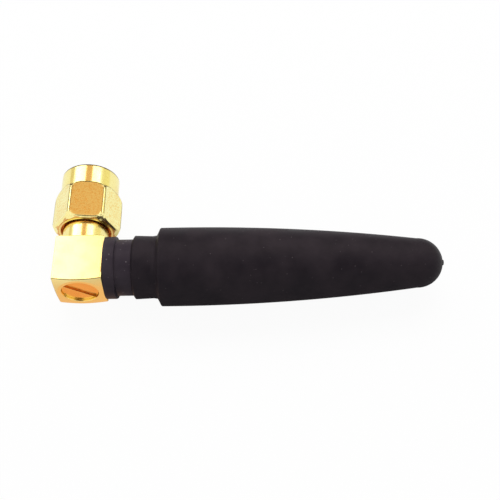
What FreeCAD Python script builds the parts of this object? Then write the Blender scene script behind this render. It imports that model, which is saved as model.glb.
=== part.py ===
import FreeCAD, Part
import math
import os
import Sketcher

# A stubby wifi whip on a right-angle threaded coaxial plug, in millimetres.
# The plug's axis runs along Y and the whip's axis along X, and the two cross inside the elbow block.
# Every station below is a distance from that crossing. The finished pieces are then moved so that the
# origin is the centre of the plug's reference plane, the end face of its outer contact.

doc = FreeCAD.newDocument("stubby_wifi_whip")
sheet = doc.addObject("Spreadsheet::Sheet", "Sizes")

# Driving sizes: a name and a plain number each.
sizes = [
    # How far a turned blank stands past the corners that are milled from it
    ("blank_margin", 0.3),
    # Elbow block, its turned neck and its bores
    ("block_side", 6.4),
    ("block_corner_cut", 0.375),
    ("block_turned_slope", 0.45),
    ("block_overhang", 0.4),
    ("block_rear_rim", 0.48),
    ("block_rear_slope", 0.2),
    ("neck_wall", 0.54),
    ("neck_length", 3.0),
    ("neck_bore_length", 2.6),
    ("chamber_clearance", 0.05),
    ("side_bore_diameter", 3.6),
    # Slotted cap that closes the solder chamber, and the insulating disc under it
    ("cap_ledge", 0.3),
    ("cap_clearance", 0.02),
    ("cap_thickness", 0.9),
    ("cap_recess", 0.28),
    ("cap_slot_width", 0.7),
    ("cap_slot_depth", 0.4),
    ("cap_slot_turn", 37.0),
    ("disc_thickness", 0.6),
    ("disc_clearance", 0.05),
    # Plug barrel: pressed spigot, running collar, gasket seat and outer contact
    ("barrel_spigot_wall", 0.43),
    ("press_clearance", 0.01),
    ("barrel_collar_wall", 0.67),
    ("barrel_collar_length", 2.5),
    ("gasket_seat_step", 0.17),
    ("gasket_thickness", 0.6),
    ("gasket_width", 0.34),
    ("outer_contact_diameter", 4.58),
    ("outer_contact_wall", 0.22),
    ("outer_contact_length", 2.0),
    ("outer_contact_chamfer", 0.1),
    # Front insulator and the centre contact it carries
    ("insulator_clearance", 0.02),
    ("insulator_recess", 0.05),
    ("insulator_cable_gap", 0.835),
    ("contact_diameter", 1.27),
    ("contact_clearance", 0.01),
    ("contact_tail", 0.9),
    ("contact_slot_clearance", 0.025),
    ("pin_diameter", 0.92),
    ("pin_length", 1.95),
    ("pin_taper", 0.3),
    ("pin_tip_diameter", 0.4),
    # Coupling nut
    ("nut_flats", 8.0),
    ("nut_hex_length", 5.8),
    ("nut_gap", 2.38),
    ("nut_turn", 7.5),
    ("nut_corner_cut", 0.65),
    ("nut_turned_slope", 1.1),
    ("nut_collar_diameter", 7.84),
    ("nut_collar_chamfer", 0.2),
    ("neck_side_gap", 0.26),
    ("neck_end_gap", 0.18),
    ("running_clearance", 0.06),
    ("relief_lead", 0.2),
    ("relief_clearance", 0.39),
    ("relief_length", 1.2),
    ("thread_minor_diameter", 5.66),
    ("nut_mouth_rim", 0.47),
    ("nut_mouth_depth", 0.98),
    ("pin_shelter", 0.05),
    # Split ring that holds the nut on the barrel
    ("ring_wire_diameter", 0.6),
    ("ring_seat_depth", 0.09),
    ("ring_setback", 1.3),
    ("ring_clearance", 0.08),
    ("ring_sweep", 325.0),
    # Crimp tail pressed into the block's side
    ("tail_flange_diameter", 4.6),
    ("tail_flange_length", 0.5),
    ("tail_wall", 0.25),
    ("tail_length", 5.5),
    ("tail_bore_clearance", 0.035),
    ("tail_chamber_gap", 0.1),
    # Feed cable, from its conductor outwards, and the ferrule that crimps it
    ("conductor_diameter", 0.51),
    ("conductor_overhang", 0.115),
    ("conductor_bare_length", 0.565),
    ("conductor_reach", 2.9),
    ("cable_dielectric_diameter", 1.53),
    ("dielectric_bare_length", 0.6),
    ("cable_clearance", 0.02),
    ("braid_thickness", 0.2),
    ("braid_cone_length", 0.6),
    ("jacket_wall", 0.24),
    ("ferrule_gap", 0.2),
    ("ferrule_length", 7.0),
    ("ferrule_wall", 0.36),
    # Brass terminal, the helical radiator soldered on it, its former and its shrink sleeve
    ("terminal_gap", 0.1),
    ("terminal_flange_clearance", 0.37),
    ("terminal_flange_length", 0.8),
    ("terminal_hub_diameter", 3.2),
    ("terminal_hub_length", 2.8),
    ("coil_wire_diameter", 0.7),
    ("coil_clearance", 0.02),
    ("coil_turns", 10.0),
    ("coil_end_gap", 0.48),
    ("former_flange_length", 0.6),
    ("sleeve_wall", 0.15),
    ("sleeve_clearance", 0.03),
    # Moulded base boot
    ("flange_diameter", 8.18),
    ("flange_thickness", 1.48),
    ("flange_rounding", 0.35),
    ("boot_neck_step", 0.385),
    ("boot_neck_length", 2.12),
    ("boot_stub_diameter", 6.0),
    ("boot_stub_length", 6.1),
    ("boot_clearance", 0.05),
    # Rubber sheath, from its lip to its tip, and the hollow inside it
    ("lip_diameter", 7.5),
    ("lip_bevel", 0.28),
    ("collar_diameter", 8.36),
    ("collar_length", 2.6),
    ("collar_end_diameter", 8.18),
    ("shoulder_foot_length", 0.55),
    ("shoulder_foot_diameter", 8.34),
    ("shoulder_rise_length", 0.5),
    ("shoulder_diameter", 10.34),
    ("shoulder_rounding", 0.3),
    ("taper_radius", 300.0),
    ("taper_length", 33.5),
    ("dome_diameter", 6.52),
    ("dome_length", 3.27),
    ("nub_diameter", 0.74),
    ("nub_length", 0.28),
    ("socket_clearance", 0.02),
    ("socket_end_gap", 0.05),
    ("cavity_clearance", 0.17),
    ("cavity_end_gap", 0.2),
    ("tip_wall", 2.15),
]

# Derived stations and radii: a name and a formula each.
places = [
    ("block_half", "block_side / 2"),
    ("block_half_back", "-block_side / 2"),
    ("block_blank_radius", "block_side / sqrt(2) + blank_margin"),
    ("block_mill_radius", "block_blank_radius + blank_margin"),
    ("block_turned_radius", "block_side / sqrt(2) - block_corner_cut"),
    ("block_turned_rise", "(block_blank_radius - block_turned_radius) * block_turned_slope"),
    ("block_front_edge", "block_half - block_turned_rise"),
    ("block_rear", "-block_half - block_overhang"),
    ("block_rear_flat_radius", "cap_bore_radius + block_rear_rim"),
    ("block_rear_rise", "(block_blank_radius - block_rear_flat_radius) * block_rear_slope"),
    ("block_rear_edge", "block_rear + block_rear_rise"),
    ("neck_radius", "neck_bore_radius + neck_wall"),
    ("neck_end", "block_half + neck_length"),
    ("neck_bore_start", "neck_end - neck_bore_length"),
    ("neck_bore_radius", "barrel_spigot_radius + press_clearance"),
    ("chamber_radius", "insulator_radius + chamber_clearance"),
    ("side_bore_radius", "side_bore_diameter / 2"),
    ("cap_radius", "chamber_radius + cap_ledge"),
    ("cap_radius_back", "-cap_radius"),
    ("cap_bore_radius", "cap_radius + cap_clearance"),
    ("cap_outside", "block_rear + cap_recess"),
    ("cap_inside", "cap_outside + cap_thickness"),
    ("cap_slot_half", "cap_slot_width / 2"),
    ("cap_slot_half_back", "-cap_slot_width / 2"),
    ("cap_slot_floor", "cap_outside + cap_slot_depth"),
    ("disc_radius", "chamber_radius - disc_clearance"),
    ("disc_inside", "cap_inside + disc_thickness"),
    ("barrel_spigot_radius", "barrel_bore_radius + barrel_spigot_wall"),
    ("barrel_collar_radius", "barrel_bore_radius + barrel_collar_wall"),
    ("barrel_collar_end", "neck_end + barrel_collar_length"),
    ("barrel_bore_radius", "outer_contact_radius - outer_contact_wall"),
    ("barrel_groove_radius", "ring_inner_radius - ring_clearance"),
    ("gasket_seat_radius", "outer_contact_radius + gasket_seat_step"),
    ("gasket_seat_end", "barrel_collar_end + gasket_thickness"),
    ("gasket_inner_radius", "gasket_seat_radius + contact_clearance"),
    ("gasket_radius", "gasket_inner_radius + gasket_width"),
    ("outer_contact_radius", "outer_contact_diameter / 2"),
    ("reference_station", "gasket_seat_end + outer_contact_length"),
    ("outer_contact_edge", "reference_station - outer_contact_chamfer"),
    ("outer_contact_end_radius", "outer_contact_radius - outer_contact_chamfer"),
    ("insulator_radius", "barrel_bore_radius - insulator_clearance"),
    ("insulator_front", "reference_station - insulator_recess"),
    ("insulator_rear", "cable_dielectric_radius + insulator_cable_gap"),
    ("insulator_bore_radius", "contact_radius + contact_clearance"),
    ("contact_radius", "contact_diameter / 2"),
    ("contact_radius_back", "-contact_diameter / 2"),
    ("contact_back", "-contact_tail"),
    ("contact_slot_half", "conductor_radius + contact_slot_clearance"),
    ("contact_slot_half_back", "-contact_slot_half"),
    ("pin_radius", "pin_diameter / 2"),
    ("pin_end", "reference_station + pin_length"),
    ("pin_taper_start", "pin_end - pin_taper"),
    ("pin_tip_radius", "pin_tip_diameter / 2"),
    ("nut_corner_radius", "nut_flats / sqrt(3)"),
    ("nut_blank_radius", "nut_corner_radius + blank_margin"),
    ("nut_mill_radius", "nut_blank_radius + blank_margin"),
    ("nut_turned_radius", "nut_corner_radius - nut_corner_cut"),
    ("nut_turned_rise", "(nut_blank_radius - nut_turned_radius) * nut_turned_slope"),
    ("nut_rear", "block_half + nut_gap"),
    ("nut_rear_edge", "nut_rear + nut_turned_rise"),
    ("nut_hex_end", "nut_rear + nut_hex_length"),
    ("nut_hex_edge", "nut_hex_end - nut_turned_rise"),
    ("nut_mouth", "nut_mouth_floor + nut_mouth_depth"),
    ("nut_collar_radius", "nut_collar_diameter / 2"),
    ("nut_collar_edge", "nut_mouth - nut_collar_chamfer"),
    ("nut_collar_end_radius", "nut_collar_radius - nut_collar_chamfer"),
    ("nut_mouth_radius", "nut_collar_end_radius - nut_mouth_rim"),
    ("nut_mouth_floor", "pin_end + pin_shelter"),
    ("thread_radius", "thread_minor_diameter / 2"),
    ("nut_running_radius", "barrel_collar_radius + running_clearance"),
    ("nut_running_end", "barrel_collar_end - relief_lead"),
    ("nut_relief_end", "nut_running_end + relief_length"),
    ("nut_relief_radius", "gasket_radius + relief_clearance"),
    ("nut_rear_bore_radius", "neck_radius + neck_side_gap"),
    ("nut_rear_bore_end", "neck_end + neck_end_gap"),
    ("ring_station", "neck_end + ring_setback"),
    ("ring_wire_radius", "ring_wire_diameter / 2"),
    ("ring_mean_radius", "barrel_collar_radius - ring_seat_depth"),
    ("ring_inner_radius", "ring_mean_radius - ring_wire_radius"),
    ("groove_start", "ring_station - ring_wire_radius - ring_clearance"),
    ("groove_end", "ring_station + ring_wire_radius + ring_clearance"),
    ("nut_groove_radius", "ring_mean_radius + ring_wire_radius + ring_clearance"),
    ("tail_spigot_start", "chamber_radius + tail_chamber_gap"),
    ("tail_spigot_radius", "side_bore_radius - press_clearance"),
    ("tail_flange_radius", "tail_flange_diameter / 2"),
    ("tail_flange_end", "block_half + tail_flange_length"),
    ("tail_radius", "tail_bore_radius + tail_wall"),
    ("tail_end", "tail_flange_end + tail_length"),
    ("tail_bore_radius", "cable_dielectric_radius + tail_bore_clearance"),
    ("flange_radius", "flange_diameter / 2"),
    ("flange_end", "block_half + flange_thickness"),
    ("boot_neck_radius", "flange_radius - boot_neck_step"),
    ("boot_stub_radius", "boot_stub_diameter / 2"),
    ("boot_stub_end", "lip_start + boot_stub_length"),
    ("boot_bore_radius", "ferrule_outer + boot_clearance"),
    ("boot_recess_radius", "tail_flange_radius + boot_clearance"),
    ("terminal_start", "boot_stub_end + terminal_gap"),
    ("terminal_flange_end", "terminal_start + terminal_flange_length"),
    ("terminal_flange_radius", "cavity_radius - terminal_flange_clearance"),
    ("terminal_hub_radius", "terminal_hub_diameter / 2"),
    ("terminal_hub_end", "terminal_flange_end + terminal_hub_length"),
    ("terminal_hole_end", "conductor_end + contact_clearance"),
    ("conductor_radius", "conductor_diameter / 2"),
    ("conductor_start", "-contact_radius - conductor_overhang"),
    ("conductor_end", "terminal_start + conductor_reach"),
    ("cable_dielectric_radius", "cable_dielectric_diameter / 2"),
    ("cable_dielectric_start", "contact_radius + conductor_bare_length"),
    ("cable_bore_radius", "conductor_radius + contact_clearance"),
    ("braid_tail_inner", "tail_radius + cable_clearance"),
    ("braid_tail_outer", "braid_tail_inner + braid_thickness"),
    ("braid_cone_start", "tail_end + cable_clearance"),
    ("braid_cone_end", "braid_cone_start + braid_cone_length"),
    ("braid_inner", "cable_dielectric_radius + cable_clearance"),
    ("braid_outer", "braid_inner + braid_thickness"),
    ("jacket_start", "braid_cone_end + cable_clearance"),
    ("jacket_end", "terminal_start - dielectric_bare_length"),
    ("jacket_inner", "braid_outer + cable_clearance"),
    ("jacket_outer", "jacket_inner + jacket_wall"),
    ("ferrule_start", "tail_flange_end + ferrule_gap"),
    ("ferrule_end", "ferrule_start + ferrule_length"),
    ("ferrule_inner", "braid_tail_outer + cable_clearance"),
    ("ferrule_outer", "ferrule_inner + ferrule_wall"),
    ("coil_wire_radius", "coil_wire_diameter / 2"),
    ("coil_mean_radius", "terminal_hub_radius + coil_clearance + coil_wire_radius"),
    ("coil_start", "terminal_flange_end + coil_wire_radius + coil_clearance"),
    ("coil_length", "former_flange_start - coil_end_gap - coil_wire_radius - coil_start"),
    ("coil_pitch", "coil_length / coil_turns"),
    ("former_radius", "terminal_hub_radius - coil_clearance"),
    ("former_flange_radius", "cavity_radius - boot_clearance"),
    ("former_end", "cavity_end - cavity_end_gap"),
    ("former_flange_start", "former_end - former_flange_length"),
    ("sleeve_inner", "coil_mean_radius + coil_wire_radius + sleeve_clearance"),
    ("sleeve_outer", "sleeve_inner + sleeve_wall"),
    ("lip_start", "flange_end + boot_neck_length"),
    ("lip_radius", "lip_diameter / 2"),
    ("lip_end", "lip_start + lip_bevel"),
    ("collar_radius", "collar_diameter / 2"),
    ("collar_end", "lip_start + collar_length"),
    ("collar_end_radius", "collar_end_diameter / 2"),
    ("shoulder_foot", "collar_end + shoulder_foot_length"),
    ("shoulder_foot_radius", "shoulder_foot_diameter / 2"),
    ("shoulder_top", "shoulder_foot + shoulder_rise_length"),
    ("shoulder_radius", "shoulder_diameter / 2"),
    ("dome_start", "shoulder_top + taper_length"),
    ("dome_radius", "dome_diameter / 2"),
    ("dome_end", "dome_start + dome_length"),
    ("nub_radius", "nub_diameter / 2"),
    ("nub_end", "dome_end + nub_length"),
    ("socket_radius", "boot_stub_radius + socket_clearance"),
    ("socket_end", "boot_stub_end + socket_end_gap"),
    ("cavity_radius", "sleeve_outer + cavity_clearance"),
    ("cavity_end", "dome_start - tip_wall"),
]

# The aliases come first, so that a formula may use a cell that is filled after it.
names = [alias for alias, text in sizes + places]
cells = {alias: f"B{row}" for row, alias in enumerate(names, start=1)}
for row, alias in enumerate(names, start=1):
    sheet.set(f"A{row}", alias)
    sheet.setAlias(cells[alias], alias)
for alias, number in sizes:
    sheet.set(cells[alias], str(number))
for alias, formula in places:
    sheet.set(cells[alias], "=" + formula)
doc.recompute()


def value(alias):
    return float(sheet.get(alias)) if alias else 0.0


def new_body(name):
    body = doc.addObject("PartDesign::Body", name)
    body.Label = name
    return body


# A sketch on one of the body's own origin planes. A lift, if named, moves it along the plane's normal.
def new_sketch(body, role, name, lift=""):
    plane = [f for f in body.Origin.OriginFeatures if f.Role == role][0]
    sketch = body.newObject("Sketcher::SketchObject", name)
    sketch.AttachmentSupport = [(plane, "")]
    sketch.MapMode = "FlatFace"
    if lift:
        sketch.setExpression(".AttachmentOffset.Base.z", lift)
    return sketch


# Holds one sketch point at two named distances from the sketch's axes. An empty name puts it on the axis.
def hold(sketch, geometry, end, across, up):
    for kind, alias, axis in (("DistanceX", across, -2), ("DistanceY", up, -1)):
        if alias:
            index = sketch.addConstraint(Sketcher.Constraint(kind, geometry, end, value(alias)))
            sketch.setExpression(f"Constraints[{index}]", f"Sizes.{alias}")
        else:
            sketch.addConstraint(Sketcher.Constraint("PointOnObject", geometry, end, axis))


# Draws a closed outline of straight lines through named corners.
def outline(sketch, corners):
    points = [FreeCAD.Vector(value(x), value(y), 0) for x, y in corners]
    first = sketch.GeometryCount
    count = len(points)
    for i in range(count):
        sketch.addGeometry(Part.LineSegment(points[i], points[(i + 1) % count]), False)
    for i in range(count):
        follower = first + (i + 1) % count
        sketch.addConstraint(Sketcher.Constraint("Coincident", first + i, 2, follower, 1))
    for i, (across, up) in enumerate(corners):
        hold(sketch, first + i, 1, across, up)


# Draws a circle of a named radius about a named centre.
def circle(sketch, across, up, radius):
    centre = FreeCAD.Vector(value(across), value(up), 0)
    index = sketch.GeometryCount
    sketch.addGeometry(Part.Circle(centre, FreeCAD.Vector(0, 0, 1), value(radius)), False)
    hold(sketch, index, 3, across, up)
    bound = sketch.addConstraint(Sketcher.Constraint("Radius", index, value(radius)))
    sketch.setExpression(f"Constraints[{bound}]", f"Sizes.{radius}")


def revolve(body, sketch, axis, angle=360.0):
    turned = body.newObject("PartDesign::Revolution", body.Name + "_turned")
    turned.Profile = sketch
    turned.ReferenceAxis = (sketch, [axis])
    turned.Angle = angle
    return turned


# A piece turned about the plug's axis: corners are (radius, station) pairs.
def plug_turning(name, corners):
    body = new_body(name)
    sketch = new_sketch(body, "XY_Plane", name + "_section")
    outline(sketch, corners)
    revolve(body, sketch, "V_Axis")
    return body


# A piece turned about the whip's axis: corners are (station, radius) pairs.
def whip_turning(name, corners):
    body = new_body(name)
    sketch = new_sketch(body, "XY_Plane", name + "_section")
    outline(sketch, corners)
    revolve(body, sketch, "H_Axis")
    return body


# A plain ring, disc or bush about the plug's axis between two stations.
def plug_tube(name, start, end, inner, outer):
    return plug_turning(name, [(inner, start), (outer, start), (outer, end), (inner, end)])


# A tube or a rod about the whip's axis between two stations.
def whip_tube(name, start, end, inner, outer):
    return whip_turning(name, [(start, inner), (end, inner), (end, outer), (start, outer)])


def cut(body, sketch, name):
    pocket = body.newObject("PartDesign::Pocket", name)
    pocket.Profile = sketch
    return pocket


# Mills flats: cuts what lies between a sketched outline and a circle that is wider than the blank,
# along the plug's axis over the whole piece.
def mill_outside(body, sketch, clear_radius):
    circle(sketch, "", "", clear_radius)
    flats = cut(body, sketch, body.Name + "_flats")
    flats.Type = "ThroughAll"
    flats.Midplane = True


def rectangle(sketch, left, right, low, high):
    outline(sketch, [(left, low), (right, low), (right, high), (left, high)])


def hexagon(sketch, corner_radius):
    radius = value(corner_radius)
    ring = sketch.GeometryCount
    sketch.addGeometry(Part.Circle(FreeCAD.Vector(0, 0, 0), FreeCAD.Vector(0, 0, 1), radius), True)
    sketch.addConstraint(Sketcher.Constraint("Coincident", ring, 3, -1, 1))
    bound = sketch.addConstraint(Sketcher.Constraint("Radius", ring, radius))
    sketch.setExpression(f"Constraints[{bound}]", f"Sizes.{corner_radius}")
    start = FreeCAD.Vector(radius, 0, 0)
    turn = FreeCAD.Rotation(FreeCAD.Vector(0, 0, 1), 60)
    for i in range(6):
        end = turn.multVec(start)
        sketch.addGeometry(Part.LineSegment(start, end), False)
        start = end
    for i in range(6):
        side = ring + 1 + i
        sketch.addConstraint(Sketcher.Constraint("Coincident", side, 2, ring + 1 + (i + 1) % 6, 1))
        sketch.addConstraint(Sketcher.Constraint("PointOnObject", side, 1, ring))
        if i:
            sketch.addConstraint(Sketcher.Constraint("Equal", ring + 1, side))
    sketch.addConstraint(Sketcher.Constraint("PointOnObject", ring + 1, 1, -1))


# An arc of a given radius from a left point to a right one, bulging away from the whip's axis.
def bulged_arc(left, right, radius):
    half = (right - left) * 0.5
    outward = FreeCAD.Vector(-half.y, half.x, 0).normalize()
    centre = left + half - outward * math.sqrt(radius**2 - half.Length**2)
    from_centre = right - centre
    first_angle = math.atan2(from_centre.y, from_centre.x)
    from_centre = left - centre
    last_angle = math.atan2(from_centre.y, from_centre.x)
    whole = Part.Circle(centre, FreeCAD.Vector(0, 0, 1), radius)
    return Part.ArcOfCircle(whole, first_angle, last_angle)


# Edges within this distance of a named station and radius are taken to lie there.
same_place = 0.001


# Rounds the circular edges of one station and radius on a piece turned about the whip's axis.
def round_ring(body, station, radius, rounding):
    doc.recompute()
    names = []
    for i, edge in enumerate(body.Shape.Edges):
        if not isinstance(edge.Curve, Part.Circle):
            continue
        near_station = abs(edge.Curve.Center.x - value(station)) < same_place
        near_radius = abs(edge.Curve.Radius - value(radius)) < same_place
        if near_station and near_radius:
            names.append(f"Edge{i + 1}")
    base = body.Tip
    fillet = body.newObject("PartDesign::Fillet", f"{body.Name}_{rounding}")
    fillet.Base = (base, names)
    fillet.setExpression("Radius", f"Sizes.{rounding}")


# Elbow body: a square block with turned ends, a turned neck for the plug barrel, a stepped bore
# that runs through to the cap's seat, and a side bore for the crimp tail.
def make_elbow_body():
    body = plug_turning(
        "elbow_body",
        [
            ("cap_bore_radius", "block_rear"),
            ("block_rear_flat_radius", "block_rear"),
            ("block_blank_radius", "block_rear_edge"),
            ("block_blank_radius", "block_front_edge"),
            ("block_turned_radius", "block_half"),
            ("neck_radius", "block_half"),
            ("neck_radius", "neck_end"),
            ("neck_bore_radius", "neck_end"),
            ("neck_bore_radius", "neck_bore_start"),
            ("chamber_radius", "neck_bore_start"),
            ("chamber_radius", "cap_inside"),
            ("cap_bore_radius", "cap_inside"),
        ],
    )
    square = new_sketch(body, "XZ_Plane", "block_square")
    rectangle(square, "block_half_back", "block_half", "block_half_back", "block_half")
    mill_outside(body, square, "block_mill_radius")
    side = new_sketch(body, "YZ_Plane", "side_bore_circle")
    circle(side, "", "", "side_bore_radius")
    bore = cut(body, side, "side_bore")
    bore.Reversed = True
    bore.setExpression("Length", "Sizes.block_side")
    return body


# Access cap: a disc with a screwdriver slot across its whole outer face.
def make_access_cap():
    body = plug_turning(
        "access_cap",
        [
            ("", "cap_outside"),
            ("cap_radius", "cap_outside"),
            ("cap_radius", "cap_inside"),
            ("", "cap_inside"),
        ],
    )
    slot = new_sketch(body, "XZ_Plane", "cap_slot_outline", "-Sizes.cap_slot_floor")
    rectangle(slot, "cap_radius_back", "cap_radius", "cap_slot_half_back", "cap_slot_half")
    groove = cut(body, slot, "cap_slot")
    groove.Type = "ThroughAll"
    groove.Reversed = True
    return body


# Plug barrel: a spigot pressed into the neck, a collar that the nut runs on with the ring's groove
# in it, a seat for the gasket and the thin outer contact.
def make_plug_barrel():
    return plug_turning(
        "plug_barrel",
        [
            ("barrel_bore_radius", "neck_bore_start"),
            ("barrel_spigot_radius", "neck_bore_start"),
            ("barrel_spigot_radius", "neck_end"),
            ("barrel_collar_radius", "neck_end"),
            ("barrel_collar_radius", "groove_start"),
            ("barrel_groove_radius", "groove_start"),
            ("barrel_groove_radius", "groove_end"),
            ("barrel_collar_radius", "groove_end"),
            ("barrel_collar_radius", "barrel_collar_end"),
            ("gasket_seat_radius", "barrel_collar_end"),
            ("gasket_seat_radius", "gasket_seat_end"),
            ("outer_contact_radius", "gasket_seat_end"),
            ("outer_contact_radius", "outer_contact_edge"),
            ("outer_contact_end_radius", "reference_station"),
            ("barrel_bore_radius", "reference_station"),
        ],
    )


# Sealing gasket: a flat rubber ring on its seat behind the outer contact.
def make_sealing_gasket():
    start = "barrel_collar_end"
    end = "gasket_seat_end"
    return plug_tube("sealing_gasket", start, end, "gasket_inner_radius", "gasket_radius")


# Front insulator: a bush that carries the centre contact through the barrel into the chamber.
def make_front_insulator():
    start = "insulator_rear"
    end = "insulator_front"
    return plug_tube("front_insulator", start, end, "insulator_bore_radius", "insulator_radius")


# Centre contact: a rod with a slender mating pin at its front and a cross slot at its back, where
# the cable's conductor lies.
def make_centre_contact():
    body = plug_turning(
        "centre_contact",
        [
            ("", "contact_back"),
            ("contact_radius", "contact_back"),
            ("contact_radius", "insulator_front"),
            ("pin_radius", "insulator_front"),
            ("pin_radius", "pin_taper_start"),
            ("pin_tip_radius", "pin_end"),
            ("", "pin_end"),
        ],
    )
    slot = new_sketch(body, "XZ_Plane", "contact_slot_outline", "-Sizes.contact_slot_half")
    rectangle(slot, "contact_radius_back", "contact_radius", "contact_slot_half_back", "contact_slot_half")
    groove = cut(body, slot, "contact_slot")
    groove.Type = "ThroughAll"
    groove.Reversed = True
    return body


# Coupling nut: a hexagon with turned ends and a plain front collar. Inside, from the back, are a
# counterbore round the neck, the running bore with the ring's groove, a relief round the gasket,
# the thread at its minor diameter and a plain mouth.
def make_coupling_nut():
    body = plug_turning(
        "coupling_nut",
        [
            ("nut_rear_bore_radius", "nut_rear"),
            ("nut_turned_radius", "nut_rear"),
            ("nut_blank_radius", "nut_rear_edge"),
            ("nut_blank_radius", "nut_hex_edge"),
            ("nut_turned_radius", "nut_hex_end"),
            ("nut_collar_radius", "nut_hex_end"),
            ("nut_collar_radius", "nut_collar_edge"),
            ("nut_collar_end_radius", "nut_mouth"),
            ("nut_mouth_radius", "nut_mouth"),
            ("nut_mouth_radius", "nut_mouth_floor"),
            ("thread_radius", "nut_mouth_floor"),
            ("thread_radius", "nut_relief_end"),
            ("nut_relief_radius", "nut_relief_end"),
            ("nut_relief_radius", "nut_running_end"),
            ("nut_running_radius", "nut_running_end"),
            ("nut_running_radius", "groove_end"),
            ("nut_groove_radius", "groove_end"),
            ("nut_groove_radius", "groove_start"),
            ("nut_running_radius", "groove_start"),
            ("nut_running_radius", "nut_rear_bore_end"),
            ("nut_rear_bore_radius", "nut_rear_bore_end"),
        ],
    )
    flats = new_sketch(body, "XZ_Plane", "nut_hexagon")
    hexagon(flats, "nut_corner_radius")
    mill_outside(body, flats, "nut_mill_radius")
    return body


# Retaining ring: round wire bent to a ring that a small gap leaves open.
def make_retaining_ring():
    body = new_body("retaining_ring")
    wire = new_sketch(body, "XY_Plane", "ring_wire_section")
    circle(wire, "ring_mean_radius", "ring_station", "ring_wire_radius")
    ring = revolve(body, wire, "V_Axis")
    ring.setExpression("Angle", "Sizes.ring_sweep")
    return body


# Crimp tail: pressed into the block's side bore up to its flange.
def make_tail_spigot():
    return whip_turning(
        "tail_spigot",
        [
            ("tail_spigot_start", "tail_bore_radius"),
            ("tail_end", "tail_bore_radius"),
            ("tail_end", "tail_radius"),
            ("tail_flange_end", "tail_radius"),
            ("tail_flange_end", "tail_flange_radius"),
            ("block_half", "tail_flange_radius"),
            ("block_half", "tail_spigot_radius"),
            ("tail_spigot_start", "tail_spigot_radius"),
        ],
    )


# Feed dielectric: the cable's white core, bare of its conductor only inside the chamber.
def make_feed_dielectric():
    start = "cable_dielectric_start"
    end = "terminal_start"
    return whip_tube("feed_dielectric", start, end, "cable_bore_radius", "cable_dielectric_radius")


# Braid: flared over the crimp tail, then closing down on to the cable's dielectric.
def make_feed_braid():
    return whip_turning(
        "feed_braid",
        [
            ("tail_flange_end", "braid_tail_inner"),
            ("braid_cone_start", "braid_tail_inner"),
            ("braid_cone_end", "braid_inner"),
            ("jacket_end", "braid_inner"),
            ("jacket_end", "braid_outer"),
            ("braid_cone_end", "braid_outer"),
            ("braid_cone_start", "braid_tail_outer"),
            ("tail_flange_end", "braid_tail_outer"),
        ],
    )


# Coil terminal: a brass cup that takes the conductor, with the coil's first turns round its hub.
def make_coil_terminal():
    return whip_turning(
        "coil_terminal",
        [
            ("terminal_start", "cable_bore_radius"),
            ("terminal_hole_end", "cable_bore_radius"),
            ("terminal_hole_end", ""),
            ("terminal_hub_end", ""),
            ("terminal_hub_end", "terminal_hub_radius"),
            ("terminal_flange_end", "terminal_hub_radius"),
            ("terminal_flange_end", "terminal_flange_radius"),
            ("terminal_start", "terminal_flange_radius"),
        ],
    )


# Helical radiator: round wire wound on the terminal's hub and on along the former.
def make_helical_radiator():
    body = new_body("helical_radiator")
    wire = new_sketch(body, "XY_Plane", "coil_wire_section")
    circle(wire, "coil_start", "coil_mean_radius", "coil_wire_radius")
    turns = body.newObject("PartDesign::AdditiveHelix", "coil_turning")
    turns.Profile = wire
    turns.ReferenceAxis = (wire, ["H_Axis"])
    turns.Mode = "pitch-height-angle"
    turns.setExpression("Pitch", "Sizes.coil_pitch")
    turns.setExpression("Height", "Sizes.coil_length")
    return body


# Coil former: a rod inside the coil, with an end flange that centres it in the sheath.
def make_coil_former():
    return whip_turning(
        "coil_former",
        [
            ("terminal_hub_end", ""),
            ("former_end", ""),
            ("former_end", "former_flange_radius"),
            ("former_flange_start", "former_flange_radius"),
            ("former_flange_start", "former_radius"),
            ("terminal_hub_end", "former_radius"),
        ],
    )


# Coil sleeve: shrunk over the coil from the terminal's flange to the former's.
def make_coil_sleeve():
    start = "terminal_flange_end"
    end = "former_flange_start"
    return whip_tube("coil_sleeve", start, end, "sleeve_inner", "sleeve_outer")


# Base boot: a round flange against the block, a plain neck, and a stub inside the sheath.
def make_base_boot():
    body = whip_turning(
        "base_boot",
        [
            ("block_half", "boot_recess_radius"),
            ("tail_flange_end", "boot_recess_radius"),
            ("tail_flange_end", "boot_bore_radius"),
            ("boot_stub_end", "boot_bore_radius"),
            ("boot_stub_end", "boot_stub_radius"),
            ("lip_start", "boot_stub_radius"),
            ("lip_start", "boot_neck_radius"),
            ("flange_end", "boot_neck_radius"),
            ("flange_end", "flange_radius"),
            ("block_half", "flange_radius"),
        ],
    )
    round_ring(body, "flange_end", "flange_radius", "flange_rounding")
    return body


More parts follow.
